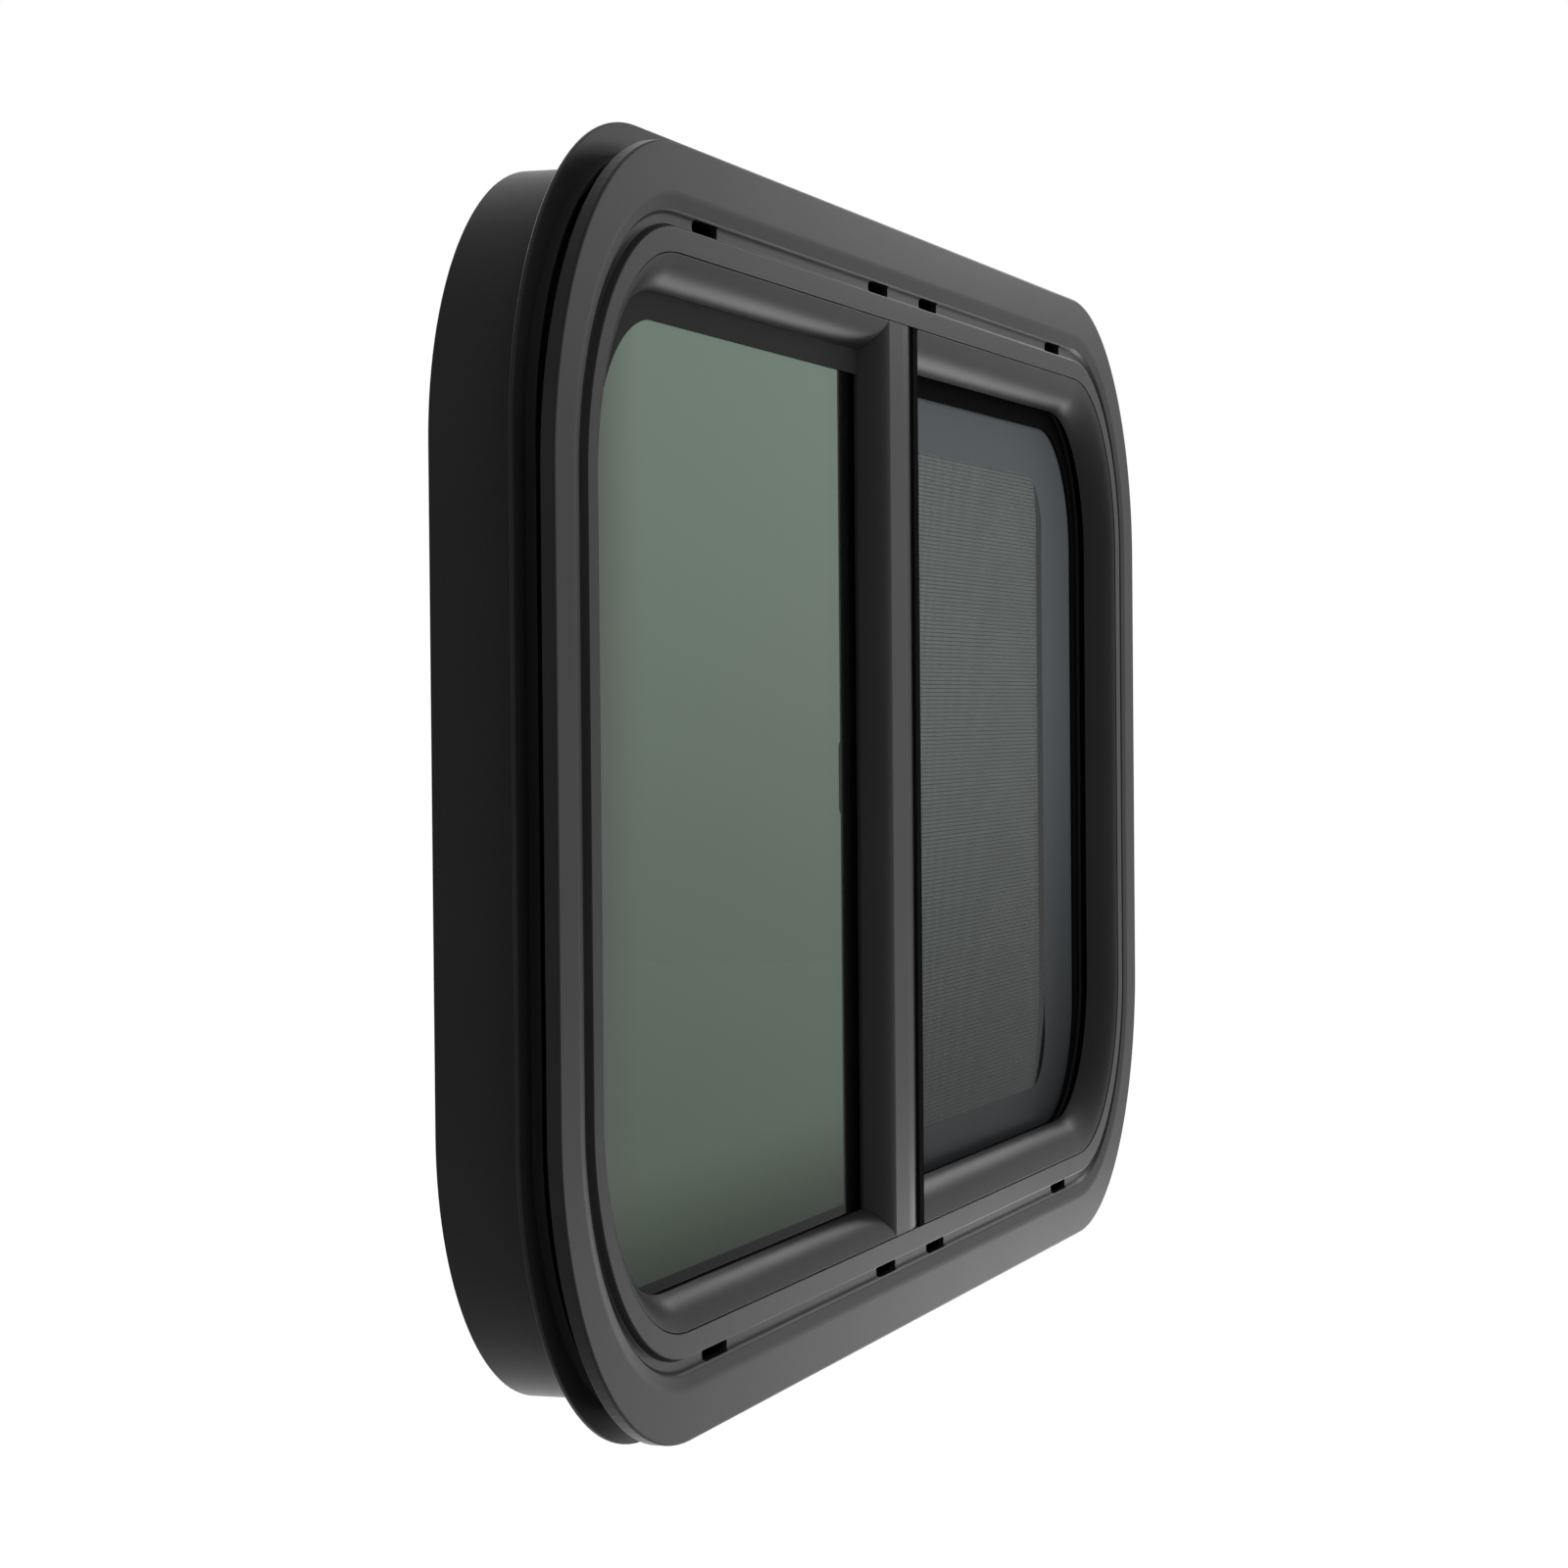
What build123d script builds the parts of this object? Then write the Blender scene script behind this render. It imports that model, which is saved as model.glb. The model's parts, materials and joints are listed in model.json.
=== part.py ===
from build123d import *
import os

os.makedirs("parts", exist_ok=True)

# Sliding caravan window, seen from outside: X to the right, Y into the vehicle, Z up, in millimetres.
# The origin is the middle of the window, in the plane where the flange's back meets the wall.
# An inset is measured from the flange's edge towards the middle of the window.

# Flange with a soft groove and a flat lip
WIDTH = 800
HEIGHT = 450
CORNER_R = 120
FLANGE_T = 5
FLANGE_BEVEL = 0.8
GROOVE_START = 18
GROOVE_BEND = 23.2
GROOVE_FLOOR = 25.2
GROOVE_END = 28.4
GROOVE_DEPTH = 2.8
GROOVE_BEND_DEPTH = 0.8
LIP_OUT = 29.4
LIP_BEVEL = 0.5
LIP_IN = 38

# Hollow body behind the flange, with legs that hold the panes and a track for the clamp screws
BODY_INSET = 19.6
BODY_WALL = 1.8
BODY_DEPTH = 30
LEG_T = 1.5
LEG_REACH = 12
REAR_LEG_REACH = 8
SCREW_TRACK_W = 3.4
SCREW_TRACK_DEPTH = 12

# Weep slots in the groove, along the head and the sill
SLOT_LENGTH = 27
SLOT_HEIGHT = 5
SLOT_CORNER = 1.5
SLOT_INSET = 26.6
SLOT_OUTER_X = 247
SLOT_INNER_X = 36

# Glazing beads: one round sweep from the seam with the lip down to the pane, clip behind
SEAM = 0.25
BEAD_SHOULDER = 3.9
BEAD_R = 18
BEAD_T = 2.4
BEAD_RUN = 13.2
BEAD_FALL = 9.9
DEEP_BEAD_R = 20
DEEP_BEAD_RUN = 15.8
DEEP_BEAD_FALL = 12.5
BEAD_FOOT = 2.6
CLIP_T = 1.7
CLIP_LENGTH = 9
FIT = 0.3

# Mullion between the two panes, whose front is crowned towards the seal
MULLION_LEFT = -28.3
MULLION_RIGHT = 6
MULLION_WALL = 1.8
CROWN_START = -10
CROWN_DROP = 1.5

# Mullion seal: a foot on the mullion, two fins and a hollow bulb
SEAL_SETBACK = 0.4
SEAL_DEPTH = 12.3
SEAL_FOOT_T = 1.4
SEAL_FIN_T = 1
SEAL_FIN_REACH = 4.9
SEAL_SHORT_FIN = 3.8
SEAL_FIN_PITCH = 4
SEAL_BULB_R = 2.4
SEAL_BORE_R = 1.4

# Fixed pane between a flat gasket and a bedding strip
GLASS_T = 4
GASKET_T = 1.2
BEDDING_T = 1
FIXED_GLASS_INSET = 42
FIXED_EDGE_GAP = 3
FIXED_SIGHT_INSET = 61
FIXED_SIGHT_SILL = 51
FIXED_SIGHT_GAP = 12
BEDDING_W = 7

# Sliding pane, its edge strip, pull and seals
SLIDE_GLASS_INSET = 45
SLIDE_GLASS_LEFT = -25.4
SLIDE_SEAL_T = 1.2
SLIDE_SIGHT_HEAD = 61.4
SLIDE_SIGHT_JAMB = 58
SLIDE_SIGHT_SILL = 51.8
TRACK_T = 1.7
TRACK_WALL_REACH = 9.5
JAMB_SEAL_R = 2.2
JAMB_SEAL_BORE_R = 1.2
STILE_W = 40
STILE_T = 1.3
PULL_EDGE = 1
PULL_W = 14
PULL_H = 72
PULL_T = 8
PULL_CORNER = 3
PULL_BEVEL = 1.5
GRIP_W = 8
GRIP_H = 50
GRIP_DEPTH = 5.5
CATCH_H = 20
CATCH_T = 4.5
CATCH_BEVEL = 0.6
PILE_W = 6

# Insect screen: rails, weave and the cord that holds the weave in its groove
SCREEN_INSET = 39
SCREEN_RAIL = 12
SCREEN_T = 6.3
SCREEN_GAP = 2
TAB_W = 8
TAB_H = 34
TAB_T = 1.5
TAB_REACH = 6
TAB_CORNER_R = 4
MESH_T = 0.6
CORD_W = 3
CORD_T = 2.4
CORD_INSET = 4.5

# Clamp ring: a thin flange behind the wall, a leg into the cut-out, a collar into the room
CLAMP_RISE = 3.4
CLAMP_CORNER_R = 112.6
CLAMP_OVER = 2.2
WALL_GAP = 8.4
CLAMP_T = 1.5
CLAMP_LEG_INSET = 8.5
CLAMP_LEG = 3.6
COLLAR_GAP = 2
COLLAR_T = 1.6
COLLAR_END = 44
RETURN_T = 1.8
RETURN_PAST_LIP = 4

# Depths that follow from the sizes above
HALF_W = WIDTH / 2
HALF_H = HEIGHT / 2
LIP_Z = HALF_H - LIP_IN
GASKET_FRONT = BEAD_FALL - FLANGE_T
FIXED_FRONT = GASKET_FRONT + GASKET_T
BEDDING_FRONT = FIXED_FRONT + GLASS_T
STOP_FRONT = BEDDING_FRONT + BEDDING_T
STOP_BACK = STOP_FRONT + LEG_T
SLIDE_FRONT = STOP_BACK + SLIDE_SEAL_T + FIT
SLIDE_BACK = SLIDE_FRONT + GLASS_T
TRACK_BACK = SLIDE_BACK + FIT + TRACK_T
SCREEN_FRONT = TRACK_BACK + LEG_T + FIT
SCREEN_BACK = SCREEN_FRONT + SCREEN_T
FRONT = SEAM - FLANGE_T
FIXED_RIGHT = MULLION_LEFT - FIXED_EDGE_GAP
SEAL_FACE = MULLION_RIGHT + SEAL_FOOT_T
DEEP_BEAD_START = SEAL_FACE + SEAL_FIN_REACH + FIT
MULLION_END = LIP_Z - FIT
LEG_CLEAR = LIP_Z - LEG_REACH - FIT
CORNER = (Align.MIN, Align.MIN)

# Flange outline: the path along which the long sections are bent
HEAD_PLANE = Plane(origin=(CORNER_R - HALF_W, 0, HALF_H), x_dir=(0, 0, -1), z_dir=(1, 0, 0))
with BuildSketch(Plane.XZ) as flange_face:
    RectangleRounded(WIDTH, HEIGHT, CORNER_R)
FLANGE_PATH = flange_face.sketch.face().outer_wire()


def bead_section(plane, run, fall, sweep_r):
    """Section of a glazing bead on a plane whose x is the inset and whose y is the depth."""
    seam = (LIP_IN + SEAM, FRONT)
    foot = (LIP_IN + run, fall - FLANGE_T)
    with BuildSketch(plane) as section:
        with BuildLine():
            RadiusArc(seam, foot, -sweep_r)
            Polyline(
                foot,
                (LIP_IN + run - BEAD_FOOT, fall - FLANGE_T),
                (LIP_IN + BEAD_SHOULDER, FRONT + BEAD_T),
                (LIP_IN + SEAM, FRONT + BEAD_T),
                seam,
            )
        make_face()
        with Locations((LIP_IN + SEAM, FRONT + BEAD_T)):
            Rectangle(CLIP_T, CLIP_LENGTH - BEAD_T, align=CORNER)
    return section.sketch


def pane(front, head, jamb, sill, left, right):
    """Face of a pane or an opening, with corners that follow the flange, between two uprights."""
    with BuildSketch(Plane.XZ.offset(-front)) as shape:
        with Locations((0, (sill - head) / 2)):
            RectangleRounded(WIDTH - 2 * jamb, HEIGHT - head - sill, CORNER_R - max(head, jamb))
        with Locations(((left + right) / 2, 0)):
            Rectangle(right - left, HEIGHT, mode=Mode.INTERSECT)
    return shape.sketch


# Outer frame: flange, groove, lip, hollow body, legs and screw track in one bent section
with BuildPart() as outer_frame:
    with BuildSketch(HEAD_PLANE) as frame_section:
        with Locations((0, -FLANGE_T)):
            Rectangle(LIP_IN, FLANGE_T, align=CORNER)
        with Locations((BODY_INSET, -FLANGE_T), (LIP_IN - BODY_WALL, -FLANGE_T)):
            Rectangle(BODY_WALL, FLANGE_T + BODY_DEPTH, align=CORNER)
        with Locations((LIP_IN - BODY_WALL, STOP_FRONT), (LIP_IN - BODY_WALL, TRACK_BACK)):
            Rectangle(BODY_WALL + LEG_REACH, LEG_T, align=CORNER)
        with Locations((LIP_IN - BODY_WALL, BODY_DEPTH)):
            Rectangle(BODY_WALL + REAR_LEG_REACH, LEG_T, align=(Align.MIN, Align.MAX))
            Rectangle(SCREW_TRACK_W + LEG_T, SCREW_TRACK_DEPTH + LEG_T, align=(Align.MAX, Align.MAX))
            Rectangle(SCREW_TRACK_W, SCREW_TRACK_DEPTH, align=(Align.MAX, Align.MAX), mode=Mode.SUBTRACT)
        with BuildLine():
            Polyline(
                (GROOVE_START, -FLANGE_T),
                (GROOVE_BEND, GROOVE_BEND_DEPTH - FLANGE_T),
                (GROOVE_FLOOR, GROOVE_DEPTH - FLANGE_T),
                (GROOVE_END, GROOVE_DEPTH - FLANGE_T),
                (LIP_OUT, -FLANGE_T),
                close=True,
            )
        make_face(mode=Mode.SUBTRACT)
        chamfer(frame_section.vertices().sort_by_distance((0, -FLANGE_T))[0], FLANGE_BEVEL)
        chamfer(frame_section.vertices().sort_by_distance((LIP_OUT, -FLANGE_T))[0], LIP_BEVEL)
    sweep(path=FLANGE_PATH)
    with BuildSketch(Plane.XZ.offset(FLANGE_T)) as weep_slots:
        with GridLocations(2 * SLOT_OUTER_X, HEIGHT - 2 * SLOT_INSET, 2, 2):
            Rectangle(SLOT_LENGTH, SLOT_HEIGHT)
        with GridLocations(2 * SLOT_INNER_X, HEIGHT - 2 * SLOT_INSET, 2, 2):
            Rectangle(SLOT_LENGTH, SLOT_HEIGHT)
        chamfer(weep_slots.vertices(), SLOT_CORNER)
    extrude(amount=-2 * FLANGE_T, mode=Mode.SUBTRACT)
outer_frame.part.label = "outer_frame"
export_step(outer_frame.part, "parts/outer_frame.step")

# Everything right of two mitre lines, which run at 45 degrees from the ends of the mullion
with BuildSketch(Plane.XZ.offset(BODY_DEPTH)) as mitre_zone:
    with BuildLine():
        Polyline(
            (MULLION_LEFT - LIP_Z, 0),
            (MULLION_LEFT + LIP_IN, HALF_H),
            (HALF_W, HALF_H),
            (HALF_W, -HALF_H),
            (MULLION_LEFT + LIP_IN, -HALF_H),
            close=True,
        )
    make_face()

# Bead round the fixed pane, mitred against the mullion
with BuildPart() as fixed_bead:
    sweep(bead_section(HEAD_PLANE, BEAD_RUN, BEAD_FALL, BEAD_R), path=FLANGE_PATH)
    extrude(mitre_zone.sketch.moved(Location((-FIT, 0, 0))), amount=-2 * BODY_DEPTH, mode=Mode.SUBTRACT)
fixed_bead.part.label = "fixed_bead"
export_step(fixed_bead.part, "parts/fixed_bead.step")

# Deeper bead round the sliding pane
with BuildPart() as sliding_bead:
    sweep(bead_section(HEAD_PLANE, DEEP_BEAD_RUN, DEEP_BEAD_FALL, DEEP_BEAD_R), path=FLANGE_PATH)
    split(bisect_by=Plane.YZ.offset(DEEP_BEAD_START), keep=Keep.TOP)
sliding_bead.part.label = "sliding_bead"
export_step(sliding_bead.part, "parts/sliding_bead.step")

# Mullion: a hollow box with a crowned front, a bead along its left side and a stop for the fixed pane behind
MULLION_TOP = Plane(origin=(MULLION_LEFT + LIP_IN, 0, MULLION_END), x_dir=(-1, 0, 0), z_dir=(0, 0, -1))
BOX_LEFT = MULLION_LEFT - SEAM
with BuildPart() as mullion:
    extrude(bead_section(MULLION_TOP, BEAD_RUN, BEAD_FALL, BEAD_R), amount=2 * MULLION_END)
    with BuildSketch(Plane.XY.offset(-MULLION_END)):
        with BuildLine():
            front_line = Line((BOX_LEFT, FRONT), (CROWN_START, FRONT))
            crown = TangentArc(front_line @ 1, (MULLION_RIGHT, FRONT + CROWN_DROP), tangent=front_line % 1)
            Polyline(crown @ 1, (MULLION_RIGHT, STOP_BACK), (BOX_LEFT, STOP_BACK), front_line @ 0)
        make_face()
        offset(amount=-MULLION_WALL, mode=Mode.SUBTRACT)
        with Locations((BOX_LEFT, STOP_BACK)):
            Rectangle(LEG_REACH, LEG_T, align=(Align.MAX, Align.MAX))
    extrude(amount=2 * MULLION_END)
    extrude(mitre_zone.sketch, amount=-2 * BODY_DEPTH, mode=Mode.INTERSECT)
    with BuildSketch(Plane.XZ.offset(FIT - STOP_FRONT)):
        Rectangle(WIDTH, HEIGHT)
        Rectangle(WIDTH, 2 * LEG_CLEAR, mode=Mode.SUBTRACT)
    extrude(amount=-2 * LEG_T, mode=Mode.SUBTRACT)
mullion.part.label = "mullion"
export_step(mullion.part, "parts/mullion.step")

# Seal on the mullion's right side, with two fins in front and a hollow bulb behind
SEAL_FRONT = SEAL_SETBACK - FLANGE_T
with BuildPart() as mullion_seal:
    with BuildSketch(Plane.XY.offset(-MULLION_END)):
        with Locations((MULLION_RIGHT, SEAL_FRONT)):
            Rectangle(SEAL_FOOT_T, SEAL_DEPTH, align=CORNER)
        with Locations((SEAL_FACE, SEAL_FRONT)):
            Rectangle(SEAL_FIN_REACH, SEAL_FIN_T, align=CORNER)
        with Locations((SEAL_FACE, SEAL_FRONT + SEAL_FIN_PITCH)):
            Rectangle(SEAL_SHORT_FIN, SEAL_FIN_T, align=CORNER)
        with Locations((MULLION_RIGHT + SEAL_BULB_R, SEAL_FRONT + SEAL_DEPTH - SEAL_BULB_R)):
            Circle(SEAL_BULB_R)
            Circle(SEAL_BORE_R, mode=Mode.SUBTRACT)
    extrude(amount=2 * MULLION_END)
mullion_seal.part.label = "mullion_seal"
export_step(mullion_seal.part, "parts/mullion_seal.step")

# Fixed pane, the flat gasket in front of it and the bedding strip behind it
FIXED_EDGE = (FIXED_GLASS_INSET, FIXED_GLASS_INSET, FIXED_GLASS_INSET, -HALF_W, FIXED_RIGHT)
SIGHT_RIGHT = FIXED_RIGHT - FIXED_SIGHT_GAP
FIXED_SIGHT = (FIXED_SIGHT_INSET, FIXED_SIGHT_INSET, FIXED_SIGHT_SILL, -HALF_W, SIGHT_RIGHT)
BEDDING_IN = FIXED_GLASS_INSET + BEDDING_W
with BuildPart() as fixed_glass:
    extrude(pane(FIXED_FRONT, *FIXED_EDGE), amount=-GLASS_T)
fixed_glass.part.label = "fixed_glass"
export_step(fixed_glass.part, "parts/fixed_glass.step")

with BuildPart() as fixed_gasket:
    extrude(pane(GASKET_FRONT, *FIXED_EDGE), amount=-GASKET_T)
    extrude(pane(GASKET_FRONT, *FIXED_SIGHT), amount=-GASKET_T, mode=Mode.SUBTRACT)
fixed_gasket.part.label = "fixed_gasket"
export_step(fixed_gasket.part, "parts/fixed_gasket.step")

with BuildPart() as glass_bedding:
    extrude(pane(BEDDING_FRONT, *FIXED_EDGE), amount=-BEDDING_T)
    bedding_hole = pane(BEDDING_FRONT, BEDDING_IN, BEDDING_IN, BEDDING_IN, -HALF_W, FIXED_RIGHT - BEDDING_W)
    extrude(bedding_hole, amount=-BEDDING_T, mode=Mode.SUBTRACT)
glass_bedding.part.label = "glass_bedding"
export_step(glass_bedding.part, "parts/glass_bedding.step")

# Tracks that the sliding pane runs in, along the head and the sill
TRACK_END = HALF_W - CORNER_R
TRACK_SECTION = Plane(origin=(-TRACK_END, 0, HALF_H), x_dir=(0, 0, -1), z_dir=(1, 0, 0))
SLIDE_SEAL_BACK = STOP_BACK + SLIDE_SEAL_T
with BuildPart() as upper_track:
    with BuildSketch(TRACK_SECTION):
        with Locations((LIP_IN, SLIDE_SEAL_BACK)):
            Rectangle(TRACK_T, TRACK_BACK - SLIDE_SEAL_BACK, align=CORNER)
        with Locations((LIP_IN, TRACK_BACK)):
            Rectangle(TRACK_WALL_REACH, TRACK_T, align=(Align.MIN, Align.MAX))
    extrude(amount=2 * TRACK_END)
    with BuildSketch(TRACK_SECTION):
        with Locations((LIP_IN, STOP_BACK)):
            Rectangle(TRACK_WALL_REACH, SLIDE_SEAL_T, align=CORNER)
    extrude(amount=TRACK_END + MULLION_RIGHT)
upper_track.part.label = "upper_track"
export_step(upper_track.part, "parts/upper_track.step")

with BuildPart() as lower_track:
    mirror(upper_track.part, about=Plane.XY)
lower_track.part.label = "lower_track"
export_step(lower_track.part, "parts/lower_track.step")

# Sliding pane, which stands in the lower track, and the black seal in front of it
SLIDE_GLASS_SILL = LIP_IN + TRACK_T + FIT
SEAL_EDGE = LIP_IN + FIT
SEAL_LEFT = MULLION_RIGHT + FIT
with BuildPart() as sliding_glass:
    slide_shape = (SLIDE_GLASS_INSET, SLIDE_GLASS_INSET, SLIDE_GLASS_SILL, SLIDE_GLASS_LEFT, HALF_W)
    extrude(pane(SLIDE_FRONT, *slide_shape), amount=-GLASS_T)
sliding_glass.part.label = "sliding_glass"
export_step(sliding_glass.part, "parts/sliding_glass.step")

with BuildPart() as sliding_seal:
    extrude(pane(STOP_BACK, SEAL_EDGE, SEAL_EDGE, SEAL_EDGE, SEAL_LEFT, HALF_W), amount=-SLIDE_SEAL_T)
    slide_sight = (SLIDE_SIGHT_HEAD, SLIDE_SIGHT_JAMB, SLIDE_SIGHT_SILL, -HALF_W, HALF_W)
    extrude(pane(STOP_BACK, *slide_sight), amount=-SLIDE_SEAL_T, mode=Mode.SUBTRACT)
sliding_seal.part.label = "sliding_seal"
export_step(sliding_seal.part, "parts/sliding_seal.step")

# Hollow seal in the right jamb, which the pane's edge closes against
GLASS_MIDDLE = SLIDE_FRONT + GLASS_T / 2
with BuildPart() as jamb_seal:
    with BuildSketch(Plane.XY.offset(CORNER_R - HALF_H)):
        with Locations((HALF_W - SLIDE_GLASS_INSET + FIT + JAMB_SEAL_R, GLASS_MIDDLE)):
            Circle(JAMB_SEAL_R)
        with Locations((HALF_W - LIP_IN, GLASS_MIDDLE)):
            jamb_foot = SLIDE_GLASS_INSET - LIP_IN - FIT - JAMB_SEAL_R
            Rectangle(jamb_foot, 2 * JAMB_SEAL_R, align=(Align.MAX, Align.CENTER))
        with Locations((HALF_W - SLIDE_GLASS_INSET + FIT + JAMB_SEAL_R, GLASS_MIDDLE)):
            Circle(JAMB_SEAL_BORE_R, mode=Mode.SUBTRACT)
    extrude(amount=HEIGHT - 2 * CORNER_R)
jamb_seal.part.label = "jamb_seal"
export_step(jamb_seal.part, "parts/jamb_seal.step")

# Pile strip between the mullion and the sliding pane
with BuildPart() as meeting_pile:
    with BuildSketch(Plane.XZ.offset(-STOP_BACK)):
        with Locations(((MULLION_LEFT + MULLION_RIGHT) / 2, 0)):
            Rectangle(PILE_W, 2 * LEG_CLEAR)
    extrude(amount=-(SLIDE_FRONT - FIT - STOP_BACK))
meeting_pile.part.label = "meeting_pile"
export_step(meeting_pile.part, "parts/meeting_pile.step")

# Angle on the sliding pane's free edge and back
STILE_END = LIP_Z - TRACK_WALL_REACH - FIT
STILE_LEFT = SLIDE_GLASS_LEFT - FIT - STILE_T
STILE_BACK = SLIDE_BACK + FIT + STILE_T
with BuildPart() as slider_stile:
    with BuildSketch(Plane.XY.offset(-STILE_END)):
        with Locations((STILE_LEFT, STILE_BACK)):
            Rectangle(STILE_T, STILE_BACK - SLIDE_FRONT, align=(Align.MIN, Align.MAX))
            Rectangle(STILE_W, STILE_T, align=(Align.MIN, Align.MAX))
    extrude(amount=2 * STILE_END)
slider_stile.part.label = "slider_stile"
export_step(slider_stile.part, "parts/slider_stile.step")

# Moulded pull on that angle, with a finger recess and a thumb catch in it
PULL_X = STILE_LEFT + STILE_W - PULL_EDGE - PULL_W / 2
PULL_BACK = STILE_BACK + PULL_T
with BuildPart() as slider_pull:
    with BuildSketch(Plane.XZ.offset(-STILE_BACK)) as pull_plan:
        with Locations((PULL_X, 0)):
            Rectangle(PULL_W, PULL_H)
        chamfer(pull_plan.vertices(), PULL_CORNER)
    extrude(amount=-PULL_T)
    chamfer(slider_pull.faces().sort_by(Axis.Y)[-1].edges(), PULL_BEVEL)
    with BuildSketch(Plane.XZ.offset(-PULL_BACK)):
        with Locations((PULL_X, 0)):
            SlotOverall(GRIP_H, GRIP_W, rotation=90)
    extrude(amount=GRIP_DEPTH, mode=Mode.SUBTRACT)
slider_pull.part.label = "slider_pull"
export_step(slider_pull.part, "parts/slider_pull.step")

with BuildPart() as pull_catch:
    with BuildSketch(Plane.XZ.offset(GRIP_DEPTH - PULL_BACK)):
        with Locations((PULL_X, 0)):
            Rectangle(GRIP_W - 2 * FIT, CATCH_H)
    extrude(amount=-CATCH_T)
    chamfer(pull_catch.faces().sort_by(Axis.Y)[-1].edges(), CATCH_BEVEL)
pull_catch.part.label = "pull_catch"
export_step(pull_catch.part, "parts/pull_catch.step")

# Insect screen: a frame with a groove in its back, the weave, the cord and a finger tab
SCREEN_OPEN = SCREEN_INSET + SCREEN_RAIL
SCREEN_LEFT = STILE_LEFT + STILE_W + SCREEN_GAP
OPEN_LEFT = SCREEN_LEFT + SCREEN_RAIL
CORD_OUT = CORD_INSET + CORD_W
CORD_FRONT = SCREEN_BACK - CORD_T


def screen_shape(front, inset, left):
    """Face with the screen's outline, at an inset from the flange and from its left upright."""
    return pane(front, inset, inset, inset, left, HALF_W)


cord_outer = screen_shape(CORD_FRONT, SCREEN_OPEN - CORD_OUT, OPEN_LEFT - CORD_OUT)
cord_inner = screen_shape(CORD_FRONT, SCREEN_OPEN - CORD_INSET, OPEN_LEFT - CORD_INSET)
with BuildPart() as screen_cord:
    extrude(cord_outer, amount=-CORD_T)
    extrude(cord_inner, amount=-CORD_T, mode=Mode.SUBTRACT)
screen_cord.part.label = "screen_cord"
export_step(screen_cord.part, "parts/screen_cord.step")

with BuildPart() as screen_frame:
    extrude(screen_shape(SCREEN_FRONT, SCREEN_INSET, SCREEN_LEFT), amount=-SCREEN_T)
    extrude(screen_shape(SCREEN_FRONT, SCREEN_OPEN, OPEN_LEFT), amount=-SCREEN_T, mode=Mode.SUBTRACT)
    add(screen_cord.part, mode=Mode.SUBTRACT)
screen_frame.part.label = "screen_frame"
export_step(screen_frame.part, "parts/screen_frame.step")

with BuildPart() as screen_mesh:
    extrude(screen_shape(SCREEN_BACK - MESH_T, SCREEN_OPEN, OPEN_LEFT), amount=-MESH_T)
screen_mesh.part.label = "screen_mesh"
export_step(screen_mesh.part, "parts/screen_mesh.step")

with BuildPart() as screen_tab:
    with BuildSketch(Plane.XY.offset(-TAB_H / 2)):
        with Locations(((SCREEN_LEFT + OPEN_LEFT - TAB_W) / 2, SCREEN_BACK)):
            Rectangle(TAB_W, TAB_T, align=CORNER)
            Rectangle(TAB_T, TAB_REACH, align=CORNER)
    extrude(amount=TAB_H)
    tab_corners = screen_tab.faces().sort_by(Axis.Y)[-1].edges().filter_by(Axis.X)
    fillet(tab_corners, TAB_CORNER_R)
screen_tab.part.label = "screen_tab"
export_step(screen_tab.part, "parts/screen_tab.step")

# Clamp ring: thin flange, forward leg, deep collar, and a return that bears on the body's back.
# It has tighter corners than the flange, and its play in the wall lets it sit a little high.
COLLAR_INSET = BODY_INSET - COLLAR_GAP - COLLAR_T - CLAMP_RISE
RETURN_INSET = LIP_IN + RETURN_PAST_LIP
CLAMP_START = (CLAMP_CORNER_R - HALF_W, 0, HALF_H + CLAMP_RISE)
with BuildSketch(Plane.XZ) as clamp_face:
    with Locations((0, CLAMP_RISE)):
        RectangleRounded(WIDTH, HEIGHT, CLAMP_CORNER_R)
with BuildPart() as clamp_ring:
    with BuildSketch(Plane(origin=CLAMP_START, x_dir=(0, 0, -1), z_dir=(1, 0, 0))):
        with Locations((-CLAMP_OVER, WALL_GAP)):
            Rectangle(CLAMP_OVER + COLLAR_INSET, CLAMP_T, align=CORNER)
        with Locations((CLAMP_LEG_INSET, WALL_GAP - CLAMP_LEG)):
            Rectangle(CLAMP_T, CLAMP_LEG, align=CORNER)
        with Locations((COLLAR_INSET, WALL_GAP)):
            Rectangle(COLLAR_T, COLLAR_END - WALL_GAP, align=CORNER)
        with Locations((COLLAR_INSET, BODY_DEPTH)):
            Rectangle(RETURN_INSET - COLLAR_INSET, RETURN_T, align=CORNER)
    sweep(path=clamp_face.sketch.face().outer_wire())
clamp_ring.part.label = "clamp_ring"
export_step(clamp_ring.part, "parts/clamp_ring.step")
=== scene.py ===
# %% [markdown]
# # A caravan window, dressed in Blender
# The window is a bent metal frame with one fixed pane, one sliding pane and an insect screen.
# Its solids come in as a fixed frame, in metres, with X to the right, Y into the vehicle and Z up.
# They already have the true sizes, so this lesson bends the visible metal sections with finer
# roundings, weaves the screen, drives in the screws and gives every surface its finish.

# %% Load the solids
import json
import math
import bmesh
import bpy
from mathutils import Matrix, Vector


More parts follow.
